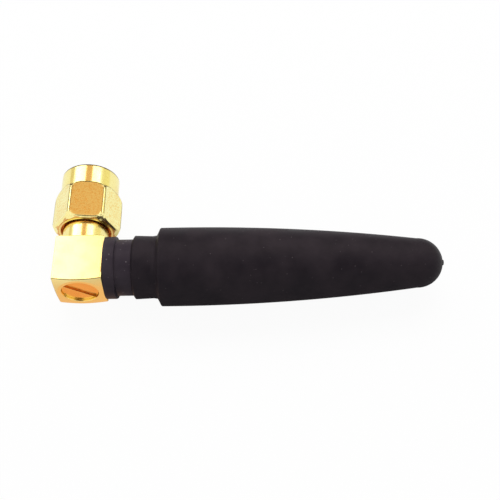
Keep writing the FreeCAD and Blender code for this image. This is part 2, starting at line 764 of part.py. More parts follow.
# Rubber sheath: a bevelled lip and collar, a shoulder, then one long arc that tapers to a domed tip
# with the small nub left by the moulding gate. The socket takes the boot's stub, and the cavity
# beyond it holds the coil.
def make_rubber_sheath():
    body = new_body("rubber_sheath")
    section = new_sketch(body, "XY_Plane", "sheath_section")
    corners = [
        ("dome_end", "nub_radius"),
        ("nub_end", "nub_radius"),
        ("nub_end", ""),
        ("cavity_end", ""),
        ("cavity_end", "cavity_radius"),
        ("socket_end", "cavity_radius"),
        ("socket_end", "socket_radius"),
        ("lip_start", "socket_radius"),
        ("lip_start", "lip_radius"),
        ("lip_end", "collar_radius"),
        ("collar_end", "collar_end_radius"),
        ("shoulder_foot", "shoulder_foot_radius"),
        ("shoulder_top", "shoulder_radius"),
        ("dome_start", "dome_radius"),
    ]
    points = [FreeCAD.Vector(value(x), value(y), 0) for x, y in corners]
    last = len(points) - 1
    for i in range(last - 1):
        section.addGeometry(Part.LineSegment(points[i], points[i + 1]), False)
    taper = section.addGeometry(bulged_arc(points[last - 1], points[last], value("taper_radius")), False)
    reach = value("dome_end") - value("dome_start")
    rise = value("dome_radius") ** 2 - value("nub_radius") ** 2
    dome_centre = (reach * reach - rise) / (2 * reach)
    dome_size = (value("dome_radius") ** 2 + dome_centre**2) ** 0.5
    dome = section.addGeometry(bulged_arc(points[last], points[0], dome_size), False)
    for i in range(last - 2):
        section.addConstraint(Sketcher.Constraint("Coincident", i, 2, i + 1, 1))
    for i in range(last - 1):
        hold(section, i, 1, *corners[i])
    hold(section, last - 2, 2, *corners[last - 1])
    # Each arc starts at its end nearer the tip and stops at its end nearer the lip
    section.addConstraint(Sketcher.Constraint("Coincident", taper, 2, last - 2, 2))
    section.addConstraint(Sketcher.Constraint("Coincident", dome, 2, taper, 1))
    section.addConstraint(Sketcher.Constraint("Coincident", dome, 1, 0, 1))
    hold(section, taper, 1, *corners[last])
    bound = section.addConstraint(Sketcher.Constraint("Radius", taper, value("taper_radius")))
    section.setExpression(f"Constraints[{bound}]", "Sizes.taper_radius")
    section.addConstraint(Sketcher.Constraint("PointOnObject", dome, 3, -1))
    revolve(body, section, "H_Axis")
    round_ring(body, "shoulder_top", "shoulder_radius", "shoulder_rounding")
    return body


# Every piece, with the angle it is turned by about the plug's axis, where it has one.
pieces = [
    (make_elbow_body(), ""),
    (make_access_cap(), "cap_slot_turn"),
    (plug_tube("rear_insulator", "cap_inside", "disc_inside", "", "disc_radius"), ""),
    (make_plug_barrel(), ""),
    (make_sealing_gasket(), ""),
    (make_front_insulator(), ""),
    (make_centre_contact(), ""),
    (make_retaining_ring(), ""),
    (make_coupling_nut(), "nut_turn"),
    (make_tail_spigot(), ""),
    (whip_tube("feed_conductor", "conductor_start", "conductor_end", "", "conductor_radius"), ""),
    (make_feed_dielectric(), ""),
    (make_feed_braid(), ""),
    (whip_tube("feed_jacket", "jacket_start", "jacket_end", "jacket_inner", "jacket_outer"), ""),
    (whip_tube("crimp_ferrule", "ferrule_start", "ferrule_end", "ferrule_inner", "ferrule_outer"), ""),
    (make_coil_terminal(), ""),
    (make_helical_radiator(), ""),
    (make_coil_former(), ""),
    (make_coil_sleeve(), ""),
    (make_base_boot(), ""),
    (make_rubber_sheath(), ""),
]

# Moves the origin to the reference plane, and turns the cap and the nut as they stand.
for body, turn in pieces:
    body.setExpression(".Placement.Base.y", "-Sizes.reference_station")
    if turn:
        body.Placement.Rotation = FreeCAD.Rotation(FreeCAD.Vector(0, 1, 0), value(turn))
        body.setExpression(".Placement.Rotation.Angle", f"Sizes.{turn}")
doc.recompute()

for thing in doc.Objects:
    if "Invalid" in thing.State or "Error" in thing.State:
        raise RuntimeError(f"{thing.Name} did not build: {thing.State}")

os.makedirs("parts", exist_ok=True)
for body, turn in pieces:
    shape = body.Shape
    if shape.isNull() or not shape.isValid() or len(shape.Solids) != 1:
        raise RuntimeError(f"{body.Label} has no sound shape")
    shape.exportStep(f"parts/{body.Label}.step")
    print(f"{body.Label}: {shape.Volume:.2f} mm3")
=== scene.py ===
import bpy
import bmesh
import numpy as np
from mathutils import Matrix, Vector


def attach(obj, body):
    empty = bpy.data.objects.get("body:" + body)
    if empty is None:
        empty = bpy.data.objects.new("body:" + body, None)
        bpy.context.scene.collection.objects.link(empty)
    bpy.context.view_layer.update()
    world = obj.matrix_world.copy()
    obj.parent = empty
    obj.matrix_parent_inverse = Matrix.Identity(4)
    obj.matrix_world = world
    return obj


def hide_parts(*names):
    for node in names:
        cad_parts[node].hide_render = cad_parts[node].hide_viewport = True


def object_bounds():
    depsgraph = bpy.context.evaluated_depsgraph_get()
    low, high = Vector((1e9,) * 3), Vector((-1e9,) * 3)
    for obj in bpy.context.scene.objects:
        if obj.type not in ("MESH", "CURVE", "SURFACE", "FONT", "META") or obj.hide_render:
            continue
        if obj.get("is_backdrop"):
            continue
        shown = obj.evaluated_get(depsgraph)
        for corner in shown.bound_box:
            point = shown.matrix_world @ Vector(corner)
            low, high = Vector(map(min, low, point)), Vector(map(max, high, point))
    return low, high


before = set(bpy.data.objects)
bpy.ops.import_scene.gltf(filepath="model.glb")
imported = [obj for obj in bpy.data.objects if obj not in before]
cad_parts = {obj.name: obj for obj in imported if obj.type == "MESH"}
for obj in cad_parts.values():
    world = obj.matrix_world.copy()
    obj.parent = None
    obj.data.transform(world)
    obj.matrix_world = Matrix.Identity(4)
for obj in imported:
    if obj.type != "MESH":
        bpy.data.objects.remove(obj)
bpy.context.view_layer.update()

scene = bpy.context.scene
print("frame loaded:", len(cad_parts), "nodes")

# A shape is worked out in millimetres from the point where the plug's axis (along Y) crosses the
# whip's axis (along X). The frame is in metres, and its origin lies further along the plug's axis.
crossingToOrigin = 11.3
metre = 0.001


def placed(x, y, z):
    x, y, z = np.broadcast_arrays(x, y, z)
    return np.stack([x, y - crossingToOrigin, z], axis=-1) * metre


# Turned about the plug's axis: x = r cos a, y = station, z = r sin a
def aboutPlug(radius, station, angle):
    return placed(radius * np.cos(angle), station, radius * np.sin(angle))


# Turned about the whip's axis: x = station, y = r cos a, z = r sin a
def aboutWhip(radius, station, angle):
    return placed(station, radius * np.cos(angle), radius * np.sin(angle))


# A grid of points (rows, columns) becomes a mesh. Columns always close into a loop, rows close when the
# section is a loop too, and rings that shrink to a point become poles when doubles are merged.
def gridPiece(name, points, loopRows=True, mergeWithin=2e-7, sliverWithin=1e-8):
    rows, columns = points.shape[:2]
    index = np.arange(rows * columns).reshape(rows, columns)
    if loopRows:
        lower, upper = index, np.roll(index, -1, axis=0)
    else:
        lower, upper = index[:-1], index[1:]
    quads = np.stack([lower, np.roll(lower, -1, axis=1), np.roll(upper, -1, axis=1), upper], axis=-1)
    mesh = bpy.data.meshes.new(name)
    mesh.from_pydata(points.reshape(-1, 3).tolist(), [], quads.reshape(-1, 4).tolist())
    work = bmesh.new()
    work.from_mesh(mesh)
    bmesh.ops.remove_doubles(work, verts=work.verts, dist=mergeWithin)
    bmesh.ops.dissolve_degenerate(work, edges=work.edges, dist=sliverWithin)
    bmesh.ops.recalc_face_normals(work, faces=work.faces)
    work.to_mesh(mesh)
    work.free()
    mesh.shade_smooth()
    piece = bpy.data.objects.new(name, mesh)
    scene.collection.objects.link(piece)
    return piece


# Rounds a closed section's corners. Each corner (radius, station, rounding) becomes a quadratic Bezier
# from a point set back along one side to a point set back along the other, with a spare point on each
# side so that the flats keep flat shading. The curve takes at most curveShare of the corner's shorter
# side, and a spare point lies at most spareShare along it.
def roundedSection(corners, steps=5, spare=0.03, curveShare=0.45, spareShare=0.48):
    spots = np.array([c[:2] for c in corners], float)
    sizes = np.array([c[2:] for c in corners], float)
    back = np.roll(spots, 1, axis=0) - spots
    ahead = np.roll(spots, -1, axis=0) - spots
    backLength = np.linalg.norm(back, axis=1, keepdims=True)
    aheadLength = np.linalg.norm(ahead, axis=1, keepdims=True)
    shorter = np.minimum(backLength, aheadLength)
    size = np.minimum(sizes, curveShare * shorter)
    extra = np.minimum(size + spare, spareShare * shorter)
    back, ahead = back / backLength, ahead / aheadLength
    t = np.linspace(0, 1, steps)[None, :, None]
    start, end = (spots + back * size)[:, None], (spots + ahead * size)[:, None]
    curve = (1 - t) ** 2 * start + 2 * t * (1 - t) * spots[:, None] + t ** 2 * end
    before, after = (spots + back * extra)[:, None], (spots + ahead * extra)[:, None]
    return np.concatenate([before, curve, after], axis=1).reshape(-1, 2)


cornerRows = 7  # rows that roundedSection makes of one corner: five on its curve and two spare ones


# Angles and radii of a regular polygon's outline: straight flats at a distance from the middle, joined
# by arcs at the corners.
def polygonRing(sides, flat, rounding, turn, flatSteps, arcSteps=7):
    half = np.pi / sides
    reach = (flat - rounding) * np.tan(half)
    along = reach * np.sin(np.linspace(-1, 1, flatSteps) * np.pi / 2)
    flatAngle = np.arctan2(along, flat)
    flatRadius = np.hypot(along, flat)
    bend = np.linspace(-half, half, arcSteps + 2)[1:-1]
    centre = (flat - rounding) / np.cos(half)
    across, out = rounding * np.sin(bend), centre + rounding * np.cos(bend)
    arcAngle = half + np.arctan2(across, out)
    arcRadius = np.hypot(across, out)
    angle = np.concatenate([flatAngle, arcAngle])
    radius = np.concatenate([flatRadius, arcRadius])
    starts = np.arange(sides) * 2 * half + turn
    return (starts[:, None] + angle[None]).ravel(), np.tile(radius, sides)


# Radii at given angles of a polygon whose corners have a larger arc. Measured from a corner, the arc is
# c cos a + sqrt(R^2 - c^2 sin^2 a), where c is how far its centre lies out.
def roundedCorners(angle, sides, flat, rounding):
    half = np.pi / sides
    fromCorner = np.abs(angle % (2 * half) - half)
    centre = (flat - rounding) / np.cos(half)
    sideways = centre * np.sin(fromCorner)
    arc = centre * np.cos(fromCorner) + np.sqrt(np.maximum(rounding ** 2 - sideways ** 2, 0))
    meeting = np.arctan2(rounding * np.sin(half), centre + rounding * np.cos(half))
    return np.where(fromCorner < meeting, arc, flat / np.cos(half - fromCorner))


# One end of a milled outside whose corners are turned away by a cone. A ball of the edge's radius
# rolls inside end face, cone and flat: its centre gives the two arcs of the edge. Gives radii and
# depths, with a spare row inward on the end face and one deeper along the side.
def coneRows(outline, turned, slope, edge, arcRows=4, inward=0.02, deeper=0.03):
    lean = np.arctan(slope)
    meet = turned - edge * (np.sqrt(1 + slope ** 2) - 1) / slope
    outerCentre = outline - edge
    innerCentre = np.minimum(meet, outerCentre)
    drop = slope * (outerCentre - innerCentre)
    onCone = np.array([[0.15], [0.85]])  # two rows on the cone itself
    first = np.linspace(np.pi / 2, np.pi / 2 - lean, arcRows)[:, None]
    second = np.linspace(np.pi / 2 - lean, 0, arcRows + 2)[:, None]
    radii = np.concatenate([
        innerCentre - inward + 0 * first[:1],
        innerCentre + edge * np.cos(first),
        innerCentre + (outerCentre - innerCentre) * onCone + edge * np.sin(lean),
        outerCentre + edge * np.cos(second),
        outline[None],
    ])
    depths = np.concatenate([
        0 * outline[None],
        edge - edge * np.sin(first) + 0 * outline,
        edge - edge * np.cos(lean) + drop * onCone,
        edge + drop - edge * np.sin(second),
        edge + drop[None] + deeper,
    ])
    return radii, depths


# The whole milled outside, with a cone (turned radius, slope) at its low end and one at its high end
def milledRows(outline, low, high, lowCone, highCone, edge, sideRows=5):
    lowRadii, lowDepths = coneRows(outline, *lowCone, edge)
    highRadii, highDepths = coneRows(outline, *highCone, edge)
    lowStations = low + lowDepths
    highRadii, highStations = highRadii[::-1], high - highDepths[::-1]
    share = np.linspace(0, 1, sideRows)[1:-1, None]
    sideStations = lowStations[-1] + (highStations[0] - lowStations[-1]) * share
    sideRadii = outline + 0 * sideStations
    return (
        np.concatenate([lowRadii, sideRadii, highRadii]),
        np.concatenate([lowStations, sideStations, highStations]),
    )


# A finish as a node group: inputs of four numbers are colours, the others are single numbers, and what
# comes out is a colour, a roughness and a height for the bump
def newGroup(name, inputs):
    group = bpy.data.node_groups.new(name, "ShaderNodeTree")
    for label, default in inputs.items():
        kind = "NodeSocketColor" if isinstance(default, tuple) else "NodeSocketFloat"
        group.interface.new_socket(label, in_out="INPUT", socket_type=kind).default_value = default
    group.interface.new_socket("Colour", in_out="OUTPUT", socket_type="NodeSocketColor")
    group.interface.new_socket("Roughness", in_out="OUTPUT", socket_type="NodeSocketFloat")
    group.interface.new_socket("Height", in_out="OUTPUT", socket_type="NodeSocketFloat")
    return group, group.nodes.new("NodeGroupInput"), group.nodes.new("NodeGroupOutput")


def addNode(tree, kind, values=None, **settings):
    made = tree.nodes.new(kind)
    for key, setting in settings.items():
        setattr(made, key, setting)
    for key, number in (values or {}).items():
        made.inputs[key].default_value = number
    return made


# Links a socket to another node's output, or sets it when the term is a plain number or colour
def feed(tree, socket, term):
    if hasattr(term, "is_output"):
        tree.links.new(term, socket)
    else:
        socket.default_value = term


def maths(tree, operation, first, second=None, clamp=False):
    made = addNode(tree, "ShaderNodeMath", operation=operation, use_clamp=clamp)
    feed(tree, made.inputs[0], first)
    if second is not None:
        feed(tree, made.inputs[1], second)
    return made.outputs[0]


def blendColour(tree, share, first, second):
    made = addNode(tree, "ShaderNodeMix", data_type="RGBA")
    for slot, term in ((0, share), (6, first), (7, second)):
        feed(tree, made.inputs[slot], term)
    return made.outputs[2]


# Low to high in the source becomes toLow to toHigh, and stays there beyond both ends
def spread(tree, source, low, high, toLow, toHigh):
    made = addNode(tree, "ShaderNodeMapRange")
    for slot, term in enumerate((source, low, high, toLow, toHigh)):
        feed(tree, made.inputs[slot], term)
    return made.outputs[0]


def noise(tree, place, scale, detail):
    made = addNode(tree, "ShaderNodeTexNoise", {"Detail": detail})
    tree.links.new(place, made.inputs["Vector"])
    feed(tree, made.inputs["Scale"], scale)
    return made.outputs[0]


platedLook = {
    "ringScale": 9000.0, "ringDetail": 2.0, "grainDetail": 3.0, "cloudScale": 420.0, "cloudDetail": 2.0,
    "patchFrom": 0.42, "patchTo": 0.68, "speckFrom": 0.45, "speckTo": 0.66,
}


# Plated metal as it leaves the lathe and the polisher: rings round the plug's axis, a fine random grain
# and cloudy patches. The rings read the distance from the axis and the station along it.
def makePlatedGroup(look):
    group, given, result = newGroup("platedFinish", {
        "Colour": (1, 0.91, 0.4, 1),
        "Deep Colour": (0.98, 0.72, 0.22, 1),
        "Polish": 0.15,
        "Dullness": 0.12,
        "Ring Depth": 0.3,
        "Grain Depth": 0.3,
        "Grain Scale": 6000.0,
        "Patch Share": 0.25,
        "Speck Share": 0.35,
    })
    link = group.links.new
    ask = given.outputs
    place = addNode(group, "ShaderNodeTexCoord").outputs["Object"]
    parts = addNode(group, "ShaderNodeSeparateXYZ")
    link(place, parts.inputs[0])
    across = maths(group, "POWER", parts.outputs["X"], 2.0)
    up = maths(group, "POWER", parts.outputs["Z"], 2.0)
    ringPlace = addNode(group, "ShaderNodeCombineXYZ")
    link(maths(group, "SQRT", maths(group, "ADD", across, up)), ringPlace.inputs[0])
    link(parts.outputs["Y"], ringPlace.inputs[1])
    rings = noise(group, ringPlace.outputs[0], look["ringScale"], look["ringDetail"])
    grain = noise(group, place, ask["Grain Scale"], look["grainDetail"])
    cloud = noise(group, place, look["cloudScale"], look["cloudDetail"])
    patch = spread(group, cloud, look["patchFrom"], look["patchTo"], 0.0, 1.0)
    speck = spread(group, grain, look["speckFrom"], look["speckTo"], 0.0, 1.0)
    patchShare = maths(group, "MULTIPLY", patch, ask["Patch Share"])
    speckShare = maths(group, "MULTIPLY", speck, ask["Speck Share"])
    share = maths(group, "ADD", patchShare, speckShare, clamp=True)
    link(blendColour(group, share, ask["Colour"], ask["Deep Colour"]), result.inputs["Colour"])
    dull = maths(group, "MULTIPLY", ask["Dullness"], maths(group, "ADD", patch, speck))
    link(maths(group, "ADD", ask["Polish"], dull), result.inputs["Roughness"])
    ringHeight = maths(group, "MULTIPLY", rings, ask["Ring Depth"])
    grainHeight = maths(group, "MULTIPLY", grain, ask["Grain Depth"])
    link(maths(group, "ADD", ringHeight, grainHeight), result.inputs["Height"])
    return group


mouldedLook = {
    "cloudScale": 260.0, "cloudDetail": 3.0, "grainDetail": 2.0, "grainHeight": 0.5,
    "speckScale": 1500.0, "speckHeight": 1.5, "pickScale": 900.0, "pickDetail": 0.0, "pickAbove": 0.5,
    "patchFrom": 0.35, "patchTo": 0.7, "sheenFrom": 0.3, "sheenTo": 0.7,
}


# Moulded rubber and plastic: slow uneven patches in colour and sheen, a fine leathery grain and a few
# pale specks of dust.
def makeMouldedGroup(look):
    group, given, result = newGroup("mouldedFinish", {
        "Colour": (0.0195, 0.015, 0.0195, 1),
        "Pale Colour": (0.0345, 0.0265, 0.032, 1),
        "Speck Colour": (0.085, 0.072, 0.078, 1),
        "Sheen Low": 0.42,
        "Sheen High": 0.6,
        "Grain Scale": 7000.0,
        "Speck Share": 0.09,
    })
    link = group.links.new
    ask = given.outputs
    place = addNode(group, "ShaderNodeTexCoord").outputs["Object"]
    cloud = noise(group, place, look["cloudScale"], look["cloudDetail"])
    grain = noise(group, place, ask["Grain Scale"], look["grainDetail"])
    pick = noise(group, place, look["pickScale"], look["pickDetail"])
    specks = addNode(group, "ShaderNodeTexVoronoi", {"Scale": look["speckScale"]})
    link(place, specks.inputs["Vector"])
    patch = spread(group, cloud, look["patchFrom"], look["patchTo"], 0.0, 1.0)
    dot = maths(group, "LESS_THAN", specks.outputs["Distance"], ask["Speck Share"])
    mark = maths(group, "MULTIPLY", dot, maths(group, "GREATER_THAN", pick, look["pickAbove"]))
    ground = blendColour(group, patch, ask["Colour"], ask["Pale Colour"])
    link(blendColour(group, mark, ground, ask["Speck Colour"]), result.inputs["Colour"])
    sheen = (look["sheenFrom"], look["sheenTo"], ask["Sheen Low"], ask["Sheen High"])
    link(spread(group, cloud, *sheen), result.inputs["Roughness"])
    lifted = maths(group, "MULTIPLY", mark, look["speckHeight"])
    leathery = maths(group, "MULTIPLY", grain, look["grainHeight"])
    link(maths(group, "ADD", leathery, lifted), result.inputs["Height"])
    return group


platedGroup = makePlatedGroup(platedLook)
mouldedGroup = makeMouldedGroup(mouldedLook)

# Each bump's strength, and its height in metres
bumps = {
    "turned": (0.12, 0.000004), "milled": (0.5, 0.000014), "satin": (0.12, 0.000003),
    "worn": (0.15, 0.000004), "bare": (0.2, 0.000004),
    "leathery": (0.25, 0.00001), "gasket": (0.2, 0.00001), "smooth": (0.15, 0.00001),
}
# What is the same all over a piece
metal = {"Metallic": 1.0}
dullBlack = {"Specular IOR Level": 0.08}
waxy = {"Subsurface Weight": 0.15, "Subsurface Scale": 0.0005}
plain = {}


def newMaterial(name, group, bumpName, allOver, inputs):
    material = bpy.data.materials.new(name)
    material.use_nodes = True
    tree = material.node_tree
    shader = tree.nodes["Principled BSDF"]
    for label, number in allOver.items():
        shader.inputs[label].default_value = number
    finish = addNode(tree, "ShaderNodeGroup", node_tree=group)
    for label, number in inputs.items():
        finish.inputs[label].default_value = number
    strength, distance = bumps[bumpName]
    bump = addNode(tree, "ShaderNodeBump", {"Strength": strength, "Distance": distance})
    tree.links.new(finish.outputs["Colour"], shader.inputs["Base Color"])
    tree.links.new(finish.outputs["Roughness"], shader.inputs["Roughness"])
    tree.links.new(finish.outputs["Height"], bump.inputs["Height"])
    tree.links.new(bump.outputs[0], shader.inputs["Normal"])
    return material


goldTurned = newMaterial("goldTurned", platedGroup, "turned", metal, {
    "Polish": 0.12, "Dullness": 0.1, "Ring Depth": 0.6, "Grain Depth": 0.25,
})
goldMilled = newMaterial("goldMilled", platedGroup, "milled", metal, {
    "Colour": (1, 0.96, 0.45, 1), "Deep Colour": (0.96, 0.7, 0.22, 1), "Polish": 0.1,
    "Dullness": 0.07, "Ring Depth": 0.1, "Grain Depth": 1.0, "Grain Scale": 4200.0,
    "Patch Share": 0.3, "Speck Share": 0.9,
})
goldSatin = newMaterial("goldSatin", platedGroup, "satin", metal, {
    "Polish": 0.16, "Dullness": 0.04, "Ring Depth": 0.1, "Grain Depth": 0.6, "Grain Scale": 12000.0,
    "Patch Share": 0.1, "Speck Share": 0.2,
})
# Painted reflection: the cap's gold is oranger all over, standing in for the dim shadowed paper and
# gold it mirrors
goldPaintedWarmReflection = newMaterial("goldPaintedWarmReflection", platedGroup, "worn", metal, {
    "Colour": (1, 0.62, 0.17, 1), "Deep Colour": (0.95, 0.5, 0.11, 1), "Polish": 0.18, "Dullness": 0.1,
    "Grain Depth": 0.6, "Grain Scale": 9000.0, "Patch Share": 0.4, "Speck Share": 0.4,
})
# Painted reflection: a dark gold for thin lines on edges, standing in for edges that mirror darker
# surroundings
goldPaintedDarkLine = newMaterial("goldPaintedDarkLine", platedGroup, "worn", metal, {
    "Colour": (0.26, 0.2, 0.08, 1), "Deep Colour": (0.16, 0.1, 0.04, 1), "Polish": 0.25,
    "Patch Share": 0.6,
})
# Painted shade: a red-brown gold for the shadowed gap where the nut's bore begins
goldPaintedBoreShade = newMaterial("goldPaintedBoreShade", platedGroup, "worn", metal, {
    "Colour": (0.9, 0.42, 0.12, 1), "Deep Colour": (0.6, 0.2, 0.04, 1), "Polish": 0.2,
    "Patch Share": 0.5,
})
# Painted shade and reflection: a coppery gold for the shade in the cap's slot and for gold mirroring
# gold on the nut's rear ring
goldPaintedDeepShade = newMaterial("goldPaintedDeepShade", platedGroup, "worn", metal, {
    "Colour": (0.9, 0.58, 0.22, 1), "Deep Colour": (0.6, 0.28, 0.08, 1), "Polish": 0.22,
    "Patch Share": 0.8,
})
brassBare = newMaterial("brassBare", platedGroup, "bare", metal, {
    "Colour": (0.62, 0.42, 0.15, 1), "Deep Colour": (0.45, 0.28, 0.09, 1), "Polish": 0.3,
})
bronzeWire = newMaterial("bronzeWire", platedGroup, "bare", metal, {
    "Colour": (0.6, 0.27, 0.12, 1), "Deep Colour": (0.4, 0.17, 0.08, 1), "Polish": 0.28,
})
silverWire = newMaterial("silverWire", platedGroup, "bare", metal, {
    "Colour": (0.8, 0.78, 0.74, 1), "Deep Colour": (0.6, 0.58, 0.54, 1), "Polish": 0.25,
})
rubberBlack = newMaterial("rubberBlack", mouldedGroup, "leathery", dullBlack, {})
plasticBlack = newMaterial("plasticBlack", mouldedGroup, "leathery", dullBlack, {
    "Colour": (0.038, 0.029, 0.039, 1), "Pale Colour": (0.061, 0.048, 0.06, 1),
    "Speck Colour": (0.15, 0.13, 0.14, 1), "Sheen Low": 0.38, "Sheen High": 0.55, "Speck Share": 0.14,
})
insulatorWhite = newMaterial("insulatorWhite", mouldedGroup, "smooth", waxy, {
    "Colour": (0.82, 0.81, 0.77, 1), "Pale Colour": (0.88, 0.87, 0.84, 1),
    "Speck Colour": (0.7, 0.68, 0.62, 1), "Sheen Low": 0.35, "Sheen High": 0.5,
})
gasketRed = newMaterial("gasketRed", mouldedGroup, "gasket", plain, {
    "Colour": (0.32, 0.035, 0.02, 1), "Pale Colour": (0.4, 0.05, 0.03, 1),
    "Speck Colour": (0.45, 0.12, 0.08, 1), "Sheen Low": 0.4, "Sheen High": 0.55,
})
jacketBrown = newMaterial("jacketBrown", mouldedGroup, "smooth", plain, {
    "Colour": (0.1, 0.035, 0.015, 1), "Pale Colour": (0.16, 0.06, 0.03, 1),
    "Speck Colour": (0.2, 0.1, 0.06, 1), "Sheen Low": 0.25, "Sheen High": 0.4,
})
plasticNatural = newMaterial("plasticNatural", mouldedGroup, "smooth", plain, {
    "Colour": (0.66, 0.62, 0.5, 1), "Pale Colour": (0.74, 0.7, 0.58, 1),
    "Speck Colour": (0.55, 0.5, 0.4, 1), "Sheen Low": 0.35, "Sheen High": 0.5,
})
print("materials made")


def finishPiece(piece, body, node, materials):
    for material in materials:
        piece.data.materials.append(material)
    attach(piece, body)
    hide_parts(node)
    print("piece made:", piece.name, len(piece.data.polygons), "faces")


# The middle of each face in millimetres (x, station along the plug's axis, z), and how far its normal
# leans along that axis, from -1 to 1
def faceMiddles(piece):
    faces = piece.data.polygons
    middles, normals = np.empty(len(faces) * 3), np.empty(len(faces) * 3)
    faces.foreach_get("center", middles)
    faces.foreach_get("normal", normals)
    x, station, z = (middles.reshape(-1, 3) / metre + [0, crossingToOrigin, 0]).T
    return x, station, z, normals.reshape(-1, 3)[:, 1]


def within(values, low, high):
    return (values > low) & (values < high)


# Gives the chosen faces another of the piece's materials
def paintFaces(piece, material, chosen):
    slots = np.empty(len(chosen), np.int32)
    piece.data.polygons.foreach_get("material_index", slots)
    slots[chosen] = piece.data.materials.find(material.name)
    piece.data.polygons.foreach_set("material_index", slots)


blockSizes = {
    "half": 3.2, "rear": -3.6, "frontTurned": 4.15, "frontSlope": 0.45, "rearFlat": 2.9,
    "rearSlope": 0.2, "edge": 0.13, "corner": 0.16, "flatSteps": 44, "sideRows": 7,
    "neck": 3.05, "neckEnd": 6.2, "neckBore": 2.51, "neckBoreStart": 3.6,
    "chamber": 2.1, "capSeat": -2.42, "capBore": 2.42, "rim": 0.06,
    "neckMargin": 0.1, "faceMargin": 0.02, "rearMargin": 0.05, "edgeLeans": (-0.93, -0.2),
}


# A square outline with rounded corners at each station of the sides, and circles along the neck and
# through the bores, on the same angles
def makeBlock(b):
    angle, outline = polygonRing(4, b["half"], b["corner"], 0.0, b["flatSteps"])
    ends = b["rear"], b["half"], (b["rearFlat"], b["rearSlope"]), (b["frontTurned"], b["frontSlope"])
    sideRadius, sideStation = milledRows(outline, *ends, b["edge"], b["sideRows"])
    # The rest of the section, from the front face in along the neck and its bores to the rear face. Its
    # last two corners lie near the sides, only turn the ends the right way, and are cut off.
    nearSide = b["half"] * 0.97
    rest = roundedSection([
        (b["neck"], b["half"], 0.06),
        (b["neck"], b["neckEnd"], 0.08),
        (b["neckBore"], b["neckEnd"], 0.05),
        (b["neckBore"], b["neckBoreStart"], 0.02),
        (b["chamber"], b["neckBoreStart"], 0.02),
        (b["chamber"], b["capSeat"], 0.02),
        (b["capBore"], b["capSeat"], 0.02),
        (b["capBore"], b["rear"], b["rim"]),
        (nearSide, b["rear"], 0.0),
        (nearSide, b["half"], 0.0),
    ])[:-2 * cornerRows]
    radius = np.concatenate([sideRadius, np.repeat(rest[:, :1], len(angle), axis=1)])
    station = np.concatenate([sideStation, np.repeat(rest[:, 1:], len(angle), axis=1)])
    block = gridPiece("elbow_block", aboutPlug(radius, station, angle))
    finishPiece(block, "antenna", "elbow_body", [goldSatin, goldTurned, goldPaintedDarkLine])
    x, station, z, lean = faceMiddles(block)
    out = np.hypot(x, z)
    onNeck = (out < b["neck"] + b["neckMargin"]) & (station > b["half"] + b["faceMargin"])
    paintFaces(block, goldTurned, onNeck)
    # A painted dark line round the rear face's edge, standing in for the edge mirroring darker
    # surroundings
    paintFaces(block, goldPaintedDarkLine, within(lean, *b["edgeLeans"]) & (out > b["rearFlat"] + b["rearMargin"]))


makeBlock(blockSizes)


capSizes = {
    "radius": 2.4, "outside": -3.32, "inside": -2.42, "slotHalf": 0.43, "slotDepth": 0.45,
    "turn": 37.0, "edge": 0.06, "slotEdge": 0.04, "paintedShadeFrom": 0.8,
    "slotSteps": 6, "rimSteps": 5, "faceSteps": 26, "rowsToRim": 40, "rowsFrom": 0.16,
    "wallMargin": 0.1, "floorMargin": 0.02,
}


# The cap is swept across its slot: at each distance v from the slot's middle line the section is a
# rectangle as wide as the disc's chord there, and its outer side follows the slot's profile.
def makeCap(c):
    fine = np.linspace(0, 1, c["slotSteps"])
    edge, lip, floor = c["edge"], c["slotEdge"], c["slotDepth"]
    toRim = c["radius"] * np.sin(np.linspace(c["rowsFrom"], 0.5, c["rowsToRim"]) * np.pi)
    toRim = toRim[toRim > c["slotHalf"] + 3 * lip]
    outward = np.concatenate([
        np.linspace(0, c["slotHalf"] - 2 * lip, c["slotSteps"]),
        c["slotHalf"] - lip * (1 - fine) ** 2,
        c["slotHalf"] + lip * fine ** 2,
        [c["slotHalf"] + 2 * lip],
        toRim,
        [c["radius"]],
    ])
    down = np.concatenate([
        np.full(c["slotSteps"], floor),
        floor - lip * fine ** 2,
        lip * (1 - fine) ** 2,
        np.zeros(len(toRim) + 2),
    ])
    v = np.concatenate([-outward[:0:-1], outward])
    depth = np.concatenate([down[:0:-1], down])
    chord = np.sqrt(np.maximum(c["radius"] ** 2 - v ** 2, 0))
    inset = np.minimum(edge, chord)
    # The rim is rounded by a quarter circle, by way of chord and depth together
    bend = np.linspace(0, np.pi / 2, c["rimSteps"])
    across = np.linspace(-1, 1, c["faceSteps"])
    top = (chord - inset)[:, None] * across
    right = (chord - inset)[:, None] + inset[:, None] * np.sin(bend)[None, 1:]
    rightDown = inset[:, None] * (1 - np.cos(bend))[None, 1:]
    pastEdge = (np.abs(v) - c["radius"] + edge).clip(0) / edge
    rimDrop = edge * (1 - np.sqrt(np.maximum(1 - pastEdge ** 2, 0)))
    face = (c["outside"] + depth + rimDrop)[:, None]
    below = np.full((len(v), 1), c["inside"])
    u = np.concatenate([top, right, right[:, -1:], -right[:, -1:], -right[:, ::-1]], axis=1)
    y = np.concatenate([
        np.repeat(face, len(across), axis=1),
        face + rightDown,
        below,
        below,
        (face + rightDown)[:, ::-1],
    ], axis=1)
    turn = np.radians(c["turn"])
    w = np.repeat(v[:, None], u.shape[1], axis=1)
    x = u * np.cos(turn) + w * np.sin(turn)
    z = -u * np.sin(turn) + w * np.cos(turn)
    cap = gridPiece("slotted_cap", placed(x, y, z), loopRows=False)
    finishPiece(cap, "antenna", "access_cap", [goldPaintedWarmReflection, goldPaintedDeepShade])
    # The slot's walls and the right end of its floor are painted darker, as painted shade in the slot
    x, station = faceMiddles(cap)[:2]
    inSlot = within(station, c["outside"] + c["wallMargin"], c["inside"] - c["wallMargin"])
    onWall = station < c["outside"] + c["slotDepth"] - c["floorMargin"]
    paintFaces(cap, goldPaintedDeepShade, inSlot & (onWall | (x > c["paintedShadeFrom"])))


makeCap(capSizes)


